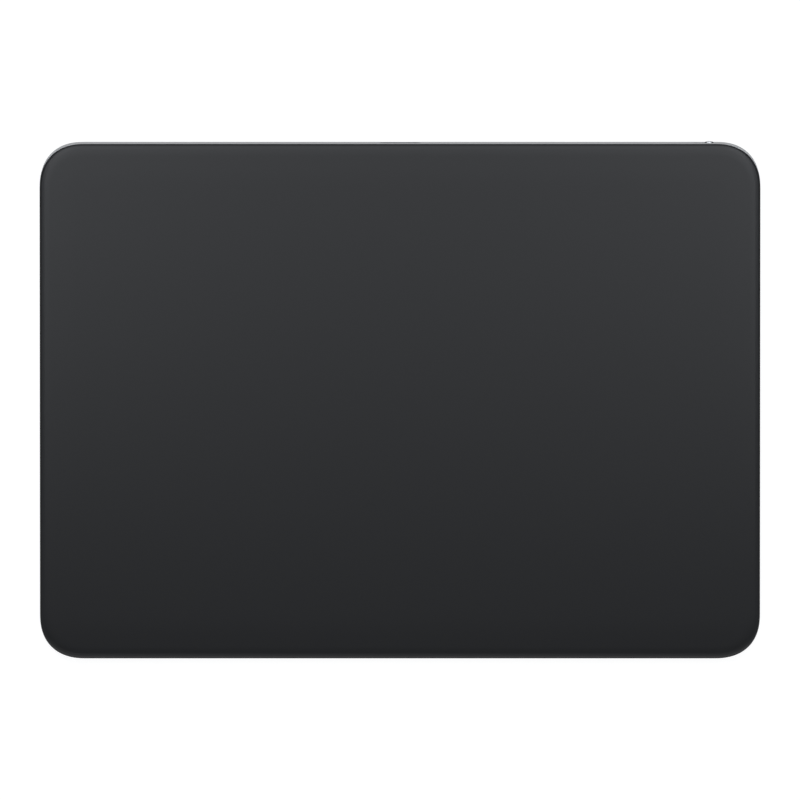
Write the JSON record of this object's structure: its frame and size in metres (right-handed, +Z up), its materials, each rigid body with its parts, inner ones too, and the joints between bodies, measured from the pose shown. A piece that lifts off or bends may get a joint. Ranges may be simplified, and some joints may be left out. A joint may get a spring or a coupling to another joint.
{
  "type": "trackpad",
  "caption": "Low wedge-shaped desktop trackpad: a matte black glass touch plate floats over a silver tray with a charging port and a slide switch in its rear wall.",
  "frame": {"origin": "centre of the bounding box's footprint, on the desk plane under the feet", "axes": "+X to the user's right along the longest extent, +Y to the rear towards the screen, +Z up, square to the desk"},
  "size_m": [0.16, 0.1149, 0.0108],
  "materials": {
    "tray_aluminium": "bead-blasted and clear anodised",
    "etched_glass": "acid-etched matte face over a black backing",
    "foot_rubber": "moulded, matte",
    "bond_film": "adhesive film",
    "board_laminate": "soldermask",
    "chip_epoxy": "moulded epoxy",
    "plate_steel": "pressed sheet",
    "spring_steel": "rolled strip",
    "silicone_gel": "soft, clear",
    "gauge_foil": "etched foil on film",
    "screw_steel": "blackened",
    "core_iron": "laminated, oiled",
    "bobbin_nylon": "moulded",
    "copper": "enamelled copper",
    "cell_pouch": "laminated foil pouch",
    "foam_tape": "adhesive tape",
    "flex_film": "polyimide film",
    "connector_resin": "moulded",
    "port_steel": "drawn shell, black nickel plated",
    "black_resin": "moulded",
    "contact_gold": "gold plated"
  },
  "bodies": {
    "housing": {"enclosure": "tray_aluminium", "foot_front_left": "foot_rubber", "foot_front_right": "foot_rubber", "foot_rear_left": "foot_rubber", "foot_rear_right": "foot_rubber", "arm_front_left": "spring_steel", "arm_front_right": "spring_steel", "arm_rear_left": "spring_steel", "arm_rear_right": "spring_steel", "gauge_front_left": "gauge_foil", "gauge_front_right": "gauge_foil", "gauge_rear_left": "gauge_foil", "gauge_rear_right": "gauge_foil", "arm_screws": "screw_steel", "magnet_core": "core_iron", "bobbin_front": "bobbin_nylon", "bobbin_rear": "bobbin_nylon", "coil_front": "copper", "coil_rear": "copper", "magnet_screws": "screw_steel", "battery_cell": "cell_pouch", "battery_tape": "foam_tape", "battery_circuit": "board_laminate", "battery_lead": "flex_film", "logic_board": "board_laminate", "board_chips": "chip_epoxy", "radio_shield": "plate_steel", "board_connectors": "connector_resin", "board_screws": "screw_steel", "port_shell": "port_steel", "port_gasket": "foot_rubber", "port_tongue": "black_resin", "port_contacts": "contact_gold", "port_cowling": "plate_steel", "cowling_screws": "screw_steel", "switch_body": "black_resin", "switch_retainer": "plate_steel", "switch_screws": "screw_steel", "switch_lead": "flex_film", "sensor_lead": "flex_film", "gauge_leads": "flex_film", "coil_lead": "flex_film", "antenna_carrier": "black_resin", "antenna_foil": "copper"},
    "force_cups": {"cup_front_left": "plate_steel", "cup_front_right": "plate_steel", "cup_rear_left": "plate_steel", "cup_rear_right": "plate_steel"},
    "touch_plate": {"touch_glass": "etched_glass", "glass_bond": "bond_film", "sensor_board": "board_laminate", "touch_chips": "chip_epoxy", "stiffener": "plate_steel", "attraction_bar": "core_iron", "gel_front_left": "silicone_gel", "gel_front_right": "silicone_gel", "gel_rear_left": "silicone_gel", "gel_rear_right": "silicone_gel"},
    "power_switch": {"switch_knob": "tray_aluminium", "switch_lever": "black_resin"}
  },
  "joints": [
    {"name": "press", "type": "slide", "parent": "housing", "child": "force_cups", "axis": [0, 0.0524, -0.9986], "range_m": [0, 0.00025], "stiffness_N_per_m": 24000, "springref_m": -0.0001, "deforming": ["arm_front_left", "arm_front_right", "arm_rear_left", "arm_rear_right", "gauge_front_left", "gauge_front_right", "gauge_rear_left", "gauge_rear_right", "sensor_lead"]},
    {"name": "haptic_shake", "type": "slide", "parent": "force_cups", "child": "touch_plate", "axis": [1, 0, 0], "range_m": [-0.0002, 0.0002], "stiffness_N_per_m": 30000, "deforming": ["gel_front_left", "gel_front_right", "gel_rear_left", "gel_rear_right"]},
    {"name": "power_slide", "type": "slide", "parent": "housing", "child": "power_switch", "axis": [1, 0, 0], "range_m": [-0.0024, 0]}
  ]
}
